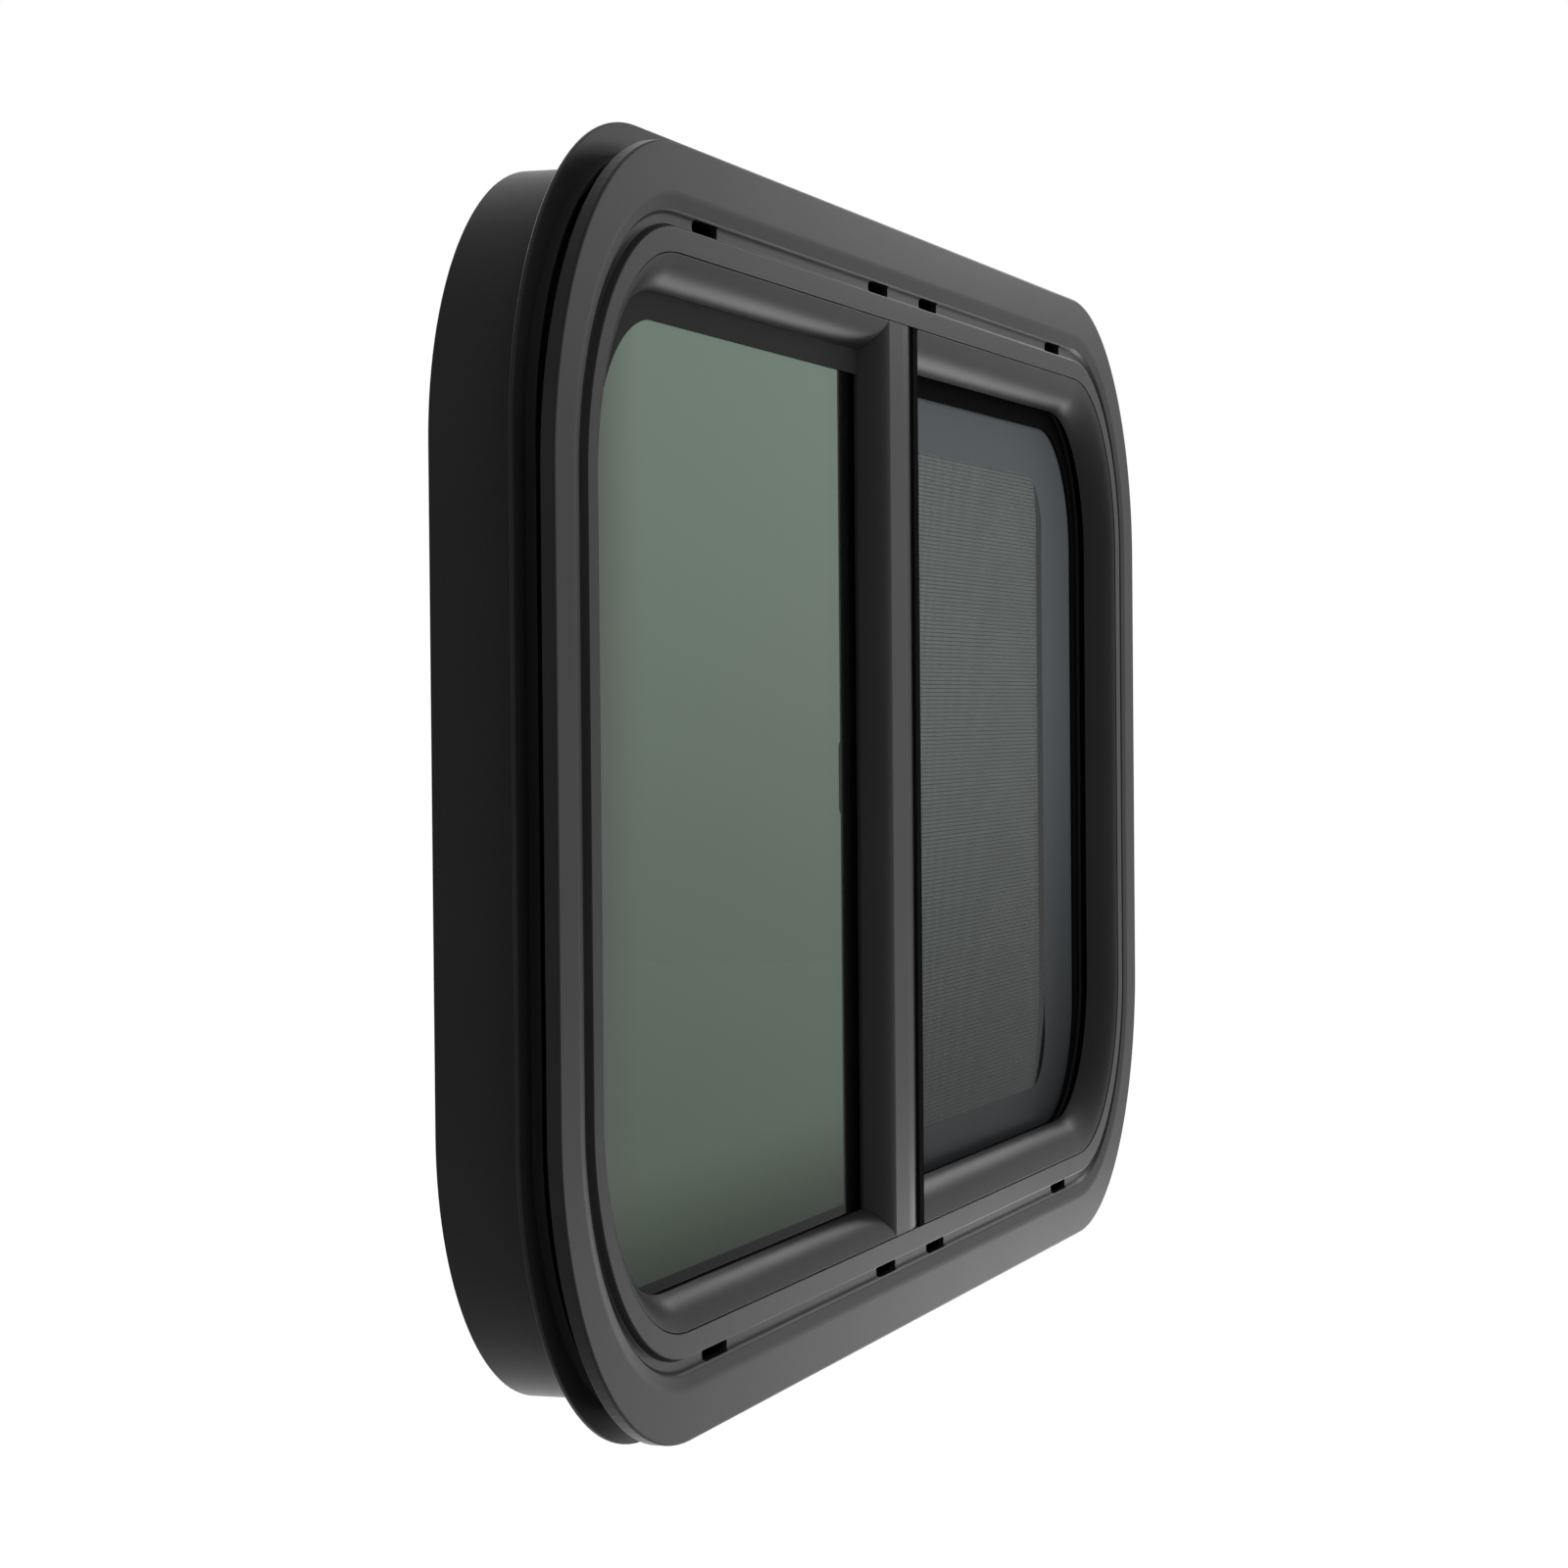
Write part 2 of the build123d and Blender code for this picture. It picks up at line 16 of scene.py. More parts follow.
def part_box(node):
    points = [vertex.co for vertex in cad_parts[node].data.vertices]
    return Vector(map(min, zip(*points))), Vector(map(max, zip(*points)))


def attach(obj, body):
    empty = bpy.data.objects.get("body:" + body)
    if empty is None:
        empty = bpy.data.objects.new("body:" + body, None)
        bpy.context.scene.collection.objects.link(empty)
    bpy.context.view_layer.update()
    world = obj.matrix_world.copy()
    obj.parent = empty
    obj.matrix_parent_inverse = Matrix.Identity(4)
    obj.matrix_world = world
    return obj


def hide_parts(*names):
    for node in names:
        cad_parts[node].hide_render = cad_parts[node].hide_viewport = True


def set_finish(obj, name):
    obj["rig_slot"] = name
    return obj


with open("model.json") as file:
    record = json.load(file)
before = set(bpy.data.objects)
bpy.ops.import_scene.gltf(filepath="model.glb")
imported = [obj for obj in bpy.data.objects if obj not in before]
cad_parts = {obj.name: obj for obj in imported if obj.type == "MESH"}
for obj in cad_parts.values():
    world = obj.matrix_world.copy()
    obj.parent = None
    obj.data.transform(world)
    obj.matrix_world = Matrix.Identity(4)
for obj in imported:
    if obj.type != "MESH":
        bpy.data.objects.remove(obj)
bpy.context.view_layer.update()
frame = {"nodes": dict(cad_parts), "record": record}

nodes = frame["nodes"]

# %% [markdown]
# ## Camera
# The picture was taken far to the left of the window and level with its middle, through a long lens.
# A camera could be aimed by eye, but the outline of the flange is a known rounded rectangle,
# so its angles and its place were worked out from that outline and are written down here.

# %% Camera
FOCAL_PX = 3991.8
PICTURE_PX = 1600
SENSOR_MM = 36.0
YAW = math.radians(71.717)
PITCH = math.radians(-1.0825)
ROLL = math.radians(-0.496)
CAMERA_AT = (-1.55599, -0.46258, 0.02861)

bpy.ops.object.select_all(action="DESELECT")
bpy.ops.object.camera_add(location=CAMERA_AT)
camera = bpy.context.object
camera.data.sensor_width = SENSOR_MM
camera.data.lens = SENSOR_MM * FOCAL_PX / PICTURE_PX
aim = Matrix.Rotation(-YAW, 3, "Z") @ Matrix.Rotation(math.pi / 2 + PITCH, 3, "X")
camera.rotation_euler = (aim @ Matrix.Rotation(ROLL, 3, "Z")).to_euler()
bpy.context.scene.camera = camera
bpy.context.scene.view_settings.view_transform = "Standard"
print("lens:", round(camera.data.lens, 2), "mm")


# %% [markdown]
# ## Sums with sockets
# Node trees get long when every sum is a node that is placed by hand.
# A small class can stand for one output of a node, so that plain Python sums add the Math nodes.
# Any other node comes from one method, which sets the node up first and then fills its sockets.

# %% A wire that can do sums
class Wire:
    """One output of a node, which Python's own operators can do sums with."""

    def __init__(self, tree, output=None):
        self.tree = tree
        self.output = output

    def node(self, kind, settings=None, inputs=None, out=0):
        """Adds a node: its settings first, then the values or links of its sockets."""
        made = self.tree.nodes.new(kind)
        for name, value in (settings or {}).items():
            setattr(made, name, value)
        for name, value in (inputs or {}).items():
            if isinstance(value, Wire):
                self.tree.links.new(value.output, made.inputs[name])
            else:
                made.inputs[name].default_value = value
        return Wire(self.tree, made.outputs[out]) if made.outputs else None

    def sum(self, operation, *values):
        return self.node("ShaderNodeMath", {"operation": operation}, dict(enumerate(values)))

    def mix(self, colour_a, colour_b):
        """Blends two colours, with this wire as the share of the second."""
        inputs = {0: self, 6: colour_a, 7: colour_b}
        return self.node("ShaderNodeMix", {"data_type": "RGBA"}, inputs, out=2)

    def rise(self, low, high):
        """Rises softly from 0 at low to 1 at high."""
        inputs = {"Value": self, "From Min": low, "From Max": high}
        return self.node("ShaderNodeMapRange", {"interpolation_type": "SMOOTHSTEP"}, inputs)

    def part(self, axis):
        """The X, Y or Z of a vector."""
        return self.node("ShaderNodeSeparateXYZ", {}, {"Vector": self}, out=axis)

    def __add__(self, other):
        return self.sum("ADD", self, other)

    def __sub__(self, other):
        return self.sum("SUBTRACT", self, other)

    def __rsub__(self, other):
        return self.sum("SUBTRACT", other, self)

    def __mul__(self, other):
        return self.sum("MULTIPLY", self, other)

    def __abs__(self):
        return self.sum("ABSOLUTE", self)

    __radd__ = __add__
    __rmul__ = __mul__


def colour(red, green, blue):
    return (red, green, blue, 1.0)


print("sums:", [name for name in vars(Wire) if name.startswith("__") and callable(getattr(Wire, name))])

# %% [markdown]
# ## Studio
# The window hangs in front of plain white, with soft light from all round and large soft lamps.
# White paper behind a product can be lit until it burns out, but that spoils the light on it.
# So the world and the floor are simply white to the camera and through glass, and light all else
# at a plain level. Gloss sees the white fall off to grey at the sides, which shapes round metal.

# %% White world
AMBIENT = 0.5
SIDE_GREY = 0.16
GREY_UNTIL = 0.03
WHITE_FROM = 0.32
WHITE = colour(1, 1, 1)


def seen_directly(wire):
    """1 for rays from the camera and through glass, 0 for all others."""
    camera_ray = wire.node("ShaderNodeLightPath", out="Is Camera Ray")
    glass_ray = wire.node("ShaderNodeLightPath", out="Is Transmission Ray")
    return wire.sum("MINIMUM", camera_ray + glass_ray, 1.0)


def seen_in_gloss(wire):
    """1 for rays off gloss, 0 for all others."""
    return wire.node("ShaderNodeLightPath", out="Is Glossy Ray") * (1 - seen_directly(wire))


def side_falloff(facing):
    """The white that gloss sees: full towards the front and the back, grey at the sides."""
    return facing.rise(GREY_UNTIL, WHITE_FROM) * (1 - SIDE_GREY) + SIDE_GREY


world = bpy.data.worlds.new("studio")
bpy.context.scene.world = world
world.use_nodes = True
world.node_tree.nodes.clear()
sky = Wire(world.node_tree)
direction = sky.node("ShaderNodeTexCoord", out="Generated")
gloss_level = side_falloff(abs(direction.part("Y")))
gloss_gain = seen_in_gloss(sky) * (gloss_level - AMBIENT)
strength = seen_directly(sky) * (1 - AMBIENT) + gloss_gain + AMBIENT
sky_light = sky.node("ShaderNodeBackground", {}, {"Color": WHITE, "Strength": strength})
sky.node("ShaderNodeOutputWorld", {}, {"Surface": sky_light})
print("world:", len(world.node_tree.nodes), "nodes")

# %% Pale floor, far below the hanging window
FLOOR_SIZE = 30.0
FLOOR_Z = -1.1
FLOOR_TONE = colour(0.8, 0.8, 0.8)
FLOOR_GLOW = 0.62
bpy.ops.object.select_all(action="DESELECT")
bpy.ops.mesh.primitive_plane_add(size=FLOOR_SIZE, location=(0, 0, FLOOR_Z))
floor = bpy.context.object
floor.name = "floor"
paper = bpy.data.materials.new("paper")
paper.use_nodes = True
paper.node_tree.nodes.clear()
sheet = Wire(paper.node_tree)
place = sheet.node("ShaderNodeTexCoord", out="Object")
floor_x, floor_y = place.part("X"), place.part("Y")
reach = sheet.sum("SQRT", floor_x * floor_x + floor_y * floor_y + FLOOR_Z * FLOOR_Z)
gloss_level = side_falloff(sheet.sum("DIVIDE", abs(floor_y), reach))
gloss_glow = sheet.sum("MAXIMUM", gloss_level - (1 - FLOOR_GLOW), 0.0)
glow_level = seen_directly(sheet) * FLOOR_GLOW + seen_in_gloss(sheet) * gloss_glow
matt = sheet.node("ShaderNodeBsdfDiffuse", {}, {"Color": FLOOR_TONE})
glow = sheet.node("ShaderNodeEmission", {}, {"Color": WHITE, "Strength": glow_level})
lit = sheet.node("ShaderNodeAddShader", {}, {0: matt, 1: glow})
sheet.node("ShaderNodeOutputMaterial", {}, {"Surface": lit})
floor.data.materials.append(paper)
print("floor at", FLOOR_Z, "m")

# %% Soft lamps: one on each side of the window, and two small ones at the right for the metal's gloss
FRONT_LAMP_AT = (-1.6, -1.6, 1.9)
FRONT_WATT = 12
ROOM_LAMP_AT = (0.8, 2.0, 1.5)
ROOM_WATT = 30
LAMP_SIZE = 1.6
GLEAM_X = 2.5
GLEAM_Y = -0.24
GLEAM_Z = 0.8
GLEAM_SIZE = 0.6
GLEAM_WATT = 4.2


def soft_lamp(name, at, size, watt):
    """A square area lamp that faces the window."""
    bpy.ops.object.select_all(action="DESELECT")
    bpy.ops.object.light_add(type="AREA", location=at)
    lamp = bpy.context.object
    lamp.name = name
    lamp.data.size = size
    lamp.data.energy = watt
    lamp.rotation_euler = (-Vector(at)).to_track_quat("-Z", "Y").to_euler()
    print(name, watt, "W")
    return lamp


front_lamp = soft_lamp("front_lamp", FRONT_LAMP_AT, LAMP_SIZE, FRONT_WATT)
front_lamp.visible_glossy = False
room_lamp = soft_lamp("room_lamp", ROOM_LAMP_AT, LAMP_SIZE, ROOM_WATT)
room_lamp.visible_camera = False
room_lamp.visible_transmission = False
for lamp_name, lamp_z in (("upper_gleam", GLEAM_Z), ("lower_gleam", -GLEAM_Z)):
    gleam = soft_lamp(lamp_name, (GLEAM_X, GLEAM_Y, lamp_z), GLEAM_SIZE, GLEAM_WATT)
    gleam.visible_camera = False
    gleam.visible_transmission = False

# %% [markdown]
# ## Bent metal sections
# The frame, its beads and the clamp ring are straight aluminium sections bent round the window.
# A curve with a bevel object could do this, and so could a modelled block with its edges beveled.
# Here a section is drawn as a chain of edges and its corners are rounded. It is then extruded along
# the head and spun round a corner, which keeps clean strips of faces just as bending does.
# The window is the same above and below, so only one quarter is bent and the rest is mirrored.

# %% Measures shared by the bent sections
MM = 0.001
frame_low, frame_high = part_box("outer_frame")
HALF_W = frame_high.x
HALF_H = frame_high.z
FRONT = frame_low.y
CORNER_R = 120 * MM
LIP_IN = 38 * MM
MERGE = 0.002 * MM
BEND_STEPS = 32
SMALL_ROUND = 1
SMALL_ROUND_STEPS = 3
LARGE_ROUND_STEPS = 10
SMOOTH_ANGLE = math.radians(32)
print("flange:", round(2 * HALF_W, 4), "by", round(2 * HALF_H, 4), "m")


# %% Selecting by place, and drawing a rounded section
def pick(piece, wanted):
    """Selects the vertices of a piece in edit mode that are wanted, and nothing else."""
    bpy.ops.mesh.select_mode(type="VERT")
    bpy.ops.mesh.select_all(action="DESELECT")
    mesh = bmesh.from_edit_mesh(piece.data)
    for vertex in mesh.verts:
        vertex.select = wanted(vertex.co)
    mesh.select_flush_mode()
    bmesh.update_edit_mesh(piece.data)


def draw_section(name, corners):
    """Draws a closed section across the head. A corner is its inset, depth and radius in mm."""
    points = [Vector((0, depth * MM, HALF_H - inset * MM)) for inset, depth, _ in corners]
    bpy.ops.object.select_all(action="DESELECT")
    bpy.ops.mesh.primitive_plane_add(size=MM, enter_editmode=True)
    section = bpy.context.object
    section.name = name
    bpy.ops.mesh.select_mode(type="VERT")
    bpy.ops.mesh.merge(type="CENTER")
    bpy.ops.transform.translate(value=points[0])
    for here, there in zip(points, points[1:] + points[:1]):
        bpy.ops.mesh.extrude_region_move(TRANSFORM_OT_translate={"value": there - here})
    bpy.ops.mesh.select_all(action="SELECT")
    bpy.ops.mesh.remove_doubles(threshold=MERGE)
    bpy.ops.mesh.select_all(action="SELECT")
    bpy.ops.mesh.edge_face_add()
    for i, (_, _, radius) in enumerate(corners):
        if radius:
            before, here, after = points[i - 1], points[i], points[(i + 1) % len(points)]
            turn = (here - before).angle(after - here)
            pick(section, lambda place: (place - here).length < MERGE)
            reach = radius * MM * math.tan(turn / 2)
            steps = SMALL_ROUND_STEPS if radius < SMALL_ROUND else LARGE_ROUND_STEPS
            bpy.ops.mesh.bevel(offset=reach, segments=steps, affect="VERTICES")
    bpy.ops.mesh.select_all(action="SELECT")
    bpy.ops.mesh.delete(type="ONLY_FACE")
    bpy.ops.mesh.select_all(action="SELECT")
    return section


# %% Bending a section round one corner, and finishing a bent piece
def bend_quarter(section, side, corner_r=CORNER_R):
    """Runs a drawn section along the head, round the corner on a side and half way down; section is not
    used, as the mesh in edit mode is the one that is run.
    """
    bend_x = side * (HALF_W - corner_r)
    bend_z = HALF_H - corner_r
    bpy.ops.mesh.select_all(action="SELECT")
    bpy.ops.mesh.extrude_region_move(TRANSFORM_OT_translate={"value": (bend_x, 0, 0)})
    bpy.ops.mesh.spin(
        steps=BEND_STEPS, angle=-side * math.pi / 2, center=(bend_x, 0, bend_z), axis=(0, 1, 0)
    )
    bpy.ops.mesh.extrude_region_move(TRANSFORM_OT_translate={"value": (0, 0, -bend_z)})
    bpy.ops.mesh.select_all(action="SELECT")
    bpy.ops.mesh.remove_doubles(threshold=MERGE)
    bpy.ops.mesh.normals_make_consistent(inside=False)


def apply_modifier(piece, kind, **settings):
    """Adds a modifier, sets it and applies it."""
    bpy.ops.object.mode_set(mode="OBJECT")
    bpy.context.view_layer.objects.active = piece
    bpy.ops.object.modifier_add(type=kind)
    modifier = piece.modifiers[-1]
    for name, value in settings.items():
        setattr(modifier, name, value)
    bpy.ops.object.modifier_apply(modifier=modifier.name)


def finish_piece(piece, slot, *replaced):
    """Turns the faces outwards, smooths the roundings and puts the piece on the window's body."""
    bpy.ops.object.mode_set(mode="EDIT")
    bpy.ops.mesh.select_all(action="SELECT")
    bpy.ops.mesh.remove_doubles(threshold=MERGE)
    bpy.ops.mesh.normals_make_consistent(inside=False)
    bpy.ops.object.mode_set(mode="OBJECT")
    bpy.ops.object.shade_smooth_by_angle(angle=SMOOTH_ANGLE)
    apply_modifier(piece, "WEIGHTED_NORMAL", keep_sharp=True)
    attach(piece, "root")
    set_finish(piece, slot)
    if replaced:
        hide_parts(*replaced)
    print(piece.name, len(piece.data.polygons), "faces")


# %% [markdown]
# ### Outer frame
# One hollow section makes the flange with its soft groove, the lip, the body in the wall, the legs
# that hold the panes and the track that the clamp screws bite into.
# Its weep slots let water out of the groove. They are cut with a rounded block as a milling cutter
# would cut them, before the quarter is mirrored, so that two cuts make eight slots.

# %% Outer frame
FRAME_CORNERS = [
    (0, -5, 0.8), (18, -5, 16), (23.4, -4.16, 0.9), (25, -2.2, 0.9), (28.4, -2.2, 0.6), (29.4, -5, 0.5),
    (38, -5, 0.3),
    (38, 11.1, 0), (50, 11.1, 0.3), (50, 12.6, 0.3), (38, 12.6, 0),
    (38, 20.1, 0), (50, 20.1, 0.3), (50, 21.6, 0.3), (38, 21.6, 0),
    (38, 28.5, 0), (46, 28.5, 0.3), (46, 30, 0.3), (36.2, 30, 0),
    (36.2, 18, 0), (32.8, 18, 0), (32.8, 30, 0.3), (31.3, 30, 0.3), (31.3, 16.5, 0), (36.2, 16.5, 0),
    (36.2, 0, 0), (21.4, 0, 0), (21.4, 30, 0.3), (19.6, 30, 0.3), (19.6, 0, 0), (0, 0, 0.4),
]
outer = draw_section("bent_frame", FRAME_CORNERS)
bend_quarter(outer, side=1)
bpy.ops.object.mode_set(mode="OBJECT")
print(outer.name, [[round(v, 4) for v in c] for c in (outer.bound_box[0], outer.bound_box[6])])

# %% Weep slots
SLOT_X = (36 * MM, 247 * MM)
SLOT_Z = HALF_H - 26.6 * MM
SLOT_SIZE = (27 * MM, 8 * MM, 5 * MM)
SLOT_MIDDLE_Y = FRONT + 2 * MM
SLOT_ROUND = 2.4 * MM
SLOT_ROUND_STEPS = 6
for slot_x in SLOT_X:
    bpy.ops.object.select_all(action="DESELECT")
    bpy.ops.mesh.primitive_cube_add(size=1, location=(slot_x, SLOT_MIDDLE_Y, SLOT_Z), scale=SLOT_SIZE)
    cutter = bpy.context.object
    bpy.ops.object.transform_apply(location=True, rotation=True, scale=True)
    bpy.ops.object.mode_set(mode="EDIT")
    bpy.ops.mesh.select_mode(type="EDGE")
    bpy.ops.mesh.select_all(action="DESELECT")
    cutter_mesh = bmesh.from_edit_mesh(cutter.data)
    for edge in cutter_mesh.edges:
        along = edge.verts[1].co - edge.verts[0].co
        edge.select_set(abs(along.y) > SLOT_SIZE[1] / 2)
    bmesh.update_edit_mesh(cutter.data)
    bpy.ops.mesh.bevel(offset=SLOT_ROUND, segments=SLOT_ROUND_STEPS, affect="EDGES")
    bpy.ops.object.mode_set(mode="OBJECT")
    apply_modifier(outer, "BOOLEAN", operation="DIFFERENCE", object=cutter)
    bpy.data.objects.remove(cutter)
apply_modifier(outer, "MIRROR", use_axis=(True, False, True), merge_threshold=MERGE)
finish_piece(outer, "frame_coat", "outer_frame")

# %% [markdown]
# ### Glazing beads
# A bead clips into the frame beside the lip and falls in one round sweep from its seam to the pane.
# Each bead is a half ring, so its quarter is bisected at its end and then mirrored over the middle.
# The fixed pane's bead ends in a mitre of 45 degrees against the mullion, as the strips of a picture
# frame do. The deeper bead of the sliding pane is cut off square where the mullion's seal begins.

# %% Bead round the fixed pane
MULLION_LEFT = -28.3 * MM
MITRE_GAP = 0.3 * MM


def bead_corners(run, fall, knee, sweep):
    """A bead's corners, from its seam round its knee to its foot on the pane, and round its clip."""
    return [
        (38.25, -4.75, 0.4), (*knee, sweep), (38 + run, fall - 5, 0.2), (38 + run - 2.6, fall - 5, 0.3),
        (41.9, -2.35, 1.2), (39.95, -2.35, 0), (39.95, 4.25, 0.3), (38.25, 4.25, 0.3),
    ]


def cut_end(piece, at, away):
    """Cuts a piece off at a point, on the side that away points to, and closes the cut; piece is not
    used, as the cut falls on the mesh in edit mode.
    """
    bpy.ops.mesh.select_all(action="SELECT")
    bpy.ops.mesh.bisect(plane_co=at, plane_no=away, use_fill=True, clear_outer=True)


fixed_corners = bead_corners(run=13.2, fall=9.9, knee=(47.14, -3.17), sweep=17.2)
fixed = draw_section("fixed_bead_strip", fixed_corners)
bend_quarter(fixed, side=-1)
cut_end(fixed, (MULLION_LEFT - MITRE_GAP, 0, HALF_H - LIP_IN), (1, 0, -1))
apply_modifier(fixed, "MIRROR", use_axis=(False, False, True), merge_threshold=MERGE)
finish_piece(fixed, "frame_coat", "fixed_bead")

# %% Bead round the sliding pane
DEEP_BEAD_START = 12.6 * MM
sliding_corners = bead_corners(run=15.8, fall=12.5, knee=(49.53, -3.06), sweep=19.2)
sliding = draw_section("sliding_bead_strip", sliding_corners)
bend_quarter(sliding, side=1)
cut_end(sliding, (DEEP_BEAD_START, 0, 0), (-1, 0, 0))
apply_modifier(sliding, "MIRROR", use_axis=(False, False, True), merge_threshold=MERGE)
finish_piece(sliding, "frame_coat", "sliding_bead")

# %% [markdown]
# ### Clamp ring
# The ring on the room side pulls the wall's skin against the flange. Its thin flange lies behind
# the skin, a small leg centres it in the cut-out, a collar runs into the room, and a flat return
# takes the screws. It is bent like the frame, but its corners are a little tighter.
# It sits a few millimetres high on the frame, so all of it is lifted once it has been mirrored.

# %% Clamp ring
CLAMP_CORNERS = [
    (-2.2, 8.4, 0.4), (8.5, 8.4, 0), (8.5, 4.8, 0.3), (10, 4.8, 0.3), (10, 8.4, 0), (14.2, 8.4, 0),
    (14.2, 30, 0), (42, 30, 0.3), (42, 31.8, 0.3), (14.2, 31.8, 0),
    (14.2, 44, 0.4), (12.6, 44, 0.4), (12.6, 9.9, 0.8), (-2.2, 9.9, 0.4),
]
CLAMP_R = 112.6 * MM
CLAMP_RISE = 3.4 * MM
clamp = draw_section("bent_clamp", CLAMP_CORNERS)
bend_quarter(clamp, side=1, corner_r=CLAMP_R)
apply_modifier(clamp, "MIRROR", use_axis=(True, False, True), merge_threshold=MERGE)
bpy.ops.object.mode_set(mode="EDIT")
bpy.ops.mesh.select_all(action="SELECT")
bpy.ops.transform.translate(value=(0, 0, CLAMP_RISE))
finish_piece(clamp, "frame_coat", "clamp_ring")

# %% [markdown]
# ## Insect screen
# The screen is a fine weave of coated threads, held in its frame's groove by a rubber cord.
# A see-through picture of a weave would look flat from the side, so the threads are real:
# one thin upright thread and one level thread are each repeated in a row, and the two rows lie
# against each other. The frame's right corners are round, so short straight cuts trim the cloth there.

# %% Woven threads
THREAD = 0.34 * MM
THREAD_PITCH = 1.8 * MM
THREAD_SIDES = 4
THREAD_LAP = 0.7
TRIM_R = 69 * MM
TRIM_CUTS = 9
cloth_low, cloth_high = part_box("screen_mesh")
cloth_middle = (cloth_low + cloth_high) / 2
cloth_size = cloth_high - cloth_low


def thread_row(name, length, count, at, turn, step):
    """One four sided thread, copied in a row."""
    bpy.ops.object.select_all(action="DESELECT")
    bpy.ops.mesh.primitive_cylinder_add(
        vertices=THREAD_SIDES, radius=THREAD / 2, depth=length, location=at, rotation=turn
    )
    thread = bpy.context.object
    thread.name = name
    bpy.ops.object.transform_apply(location=True, rotation=True, scale=True)
    apply_modifier(
        thread, "ARRAY", count=count, use_relative_offset=False, use_constant_offset=True,
        constant_offset_displace=step,
    )
    return thread


upright_count = int(cloth_size.x / THREAD_PITCH)
level_count = int(cloth_size.z / THREAD_PITCH)
apart = THREAD / 2 * THREAD_LAP
first_x = cloth_middle.x - (upright_count - 1) / 2 * THREAD_PITCH
first_z = cloth_middle.z - (level_count - 1) / 2 * THREAD_PITCH
upright_at = (first_x, cloth_middle.y - apart, cloth_middle.z)
level_at = (cloth_middle.x, cloth_middle.y + apart, first_z)
upright = thread_row(
    "woven_screen", cloth_size.z, upright_count, upright_at, (0, 0, 0), (THREAD_PITCH, 0, 0)
)
level = thread_row(
    "level_threads", cloth_size.x, level_count, level_at, (0, math.pi / 2, 0), (0, 0, THREAD_PITCH)
)
level.select_set(True)
upright.select_set(True)
bpy.context.view_layer.objects.active = upright
bpy.ops.object.join()
cloth = upright
print("threads:", upright_count, "upright and", level_count, "level")

# %% Round corners of the cloth
trim_x = cloth_high.x - TRIM_R
trim_z = cloth_high.z - TRIM_R
bpy.ops.object.mode_set(mode="EDIT")
for cut in range(TRIM_CUTS):
    angle = math.pi / 2 * (cut + 0.5) / TRIM_CUTS
    for up in (1, -1):
        away = Vector((math.cos(angle), 0, up * math.sin(angle)))
        cut_end(cloth, Vector((trim_x, 0, up * trim_z)) + away * TRIM_R, away)
bpy.ops.object.mode_set(mode="OBJECT")
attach(cloth, "root")
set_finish(cloth, "screen_weave")
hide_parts("screen_mesh")
print(cloth.name, len(cloth.data.polygons), "faces")

# %% [markdown]
# ## Clamp screws
# Screws through the clamp ring's return bite into the frame's screw track and pull the wall tight.
# Each has a low domed head with a cross recess. A cylinder is the start: a bevel rounds its rim,
# a cross shaped cutter sinks the recess, and the finished screw is copied to its twelve places.

# %% One screw
HEAD_R = 3.6 * MM
HEAD_T = 2.1 * MM
HEAD_SIDES = 24
HEAD_ROUND = 1.2 * MM
HEAD_ROUND_STEPS = 5
CROSS = (4 * MM, 0.9 * MM)
CROSS_DEPTH = 1.2 * MM
SEAT_Y = 31.8 * MM
bpy.ops.object.select_all(action="DESELECT")
bpy.ops.mesh.primitive_cylinder_add(
    vertices=HEAD_SIDES, radius=HEAD_R, depth=HEAD_T, location=(0, SEAT_Y + HEAD_T / 2, 0),
    rotation=(-math.pi / 2, 0, 0),
)
screw = bpy.context.object
screw.name = "clamp_screws"
bpy.ops.object.transform_apply(location=True, rotation=True, scale=True)
bpy.ops.object.mode_set(mode="EDIT")
pick(screw, lambda place: place.y > SEAT_Y + HEAD_T / 2)
bpy.ops.mesh.bevel(offset=HEAD_ROUND, segments=HEAD_ROUND_STEPS, affect="EDGES")
for cross_x, cross_z in (CROSS, CROSS[::-1]):
    bpy.ops.object.mode_set(mode="OBJECT")
    bpy.ops.object.select_all(action="DESELECT")
    bpy.ops.mesh.primitive_cube_add(
        size=1, location=(0, SEAT_Y + HEAD_T, 0), scale=(cross_x, 2 * CROSS_DEPTH, cross_z)
    )
    cross = bpy.context.object
    apply_modifier(screw, "BOOLEAN", operation="DIFFERENCE", object=cross)
    bpy.data.objects.remove(cross)
print(screw.name, len(screw.data.polygons), "faces in one")

# %% Twelve screws
SCREW_INSET = 34.5 * MM
SCREW_X = (70 * MM, 210 * MM)
SCREW_SIDE_Z = 60 * MM
SCREW_TURN = 0.7
screw_z = HALF_H - SCREW_INSET
screw_x = HALF_W - SCREW_INSET
spots = [(side * x, end * screw_z) for x in SCREW_X for side in (1, -1) for end in (1, -1)]
spots += [(side * screw_x, end * SCREW_SIDE_Z) for side in (1, -1) for end in (1, -1)]
copies = []
for number, (x, z) in enumerate(spots):
    copy = screw.copy()
    copy.data = screw.data.copy()
    turned = Matrix.Rotation(SCREW_TURN * number, 4, "Y")
    copy.data.transform(Matrix.Translation((x, 0, z)) @ turned)
    bpy.context.collection.objects.link(copy)
    copies.append(copy)
bpy.data.objects.remove(screw)
bpy.ops.object.select_all(action="DESELECT")
for copy in copies:
    copy.select_set(True)
bpy.context.view_layer.objects.active = copies[0]
bpy.ops.object.join()
screws = copies[0]
screws.name = "clamp_screws"
finish_piece(screws, "screen_coat")

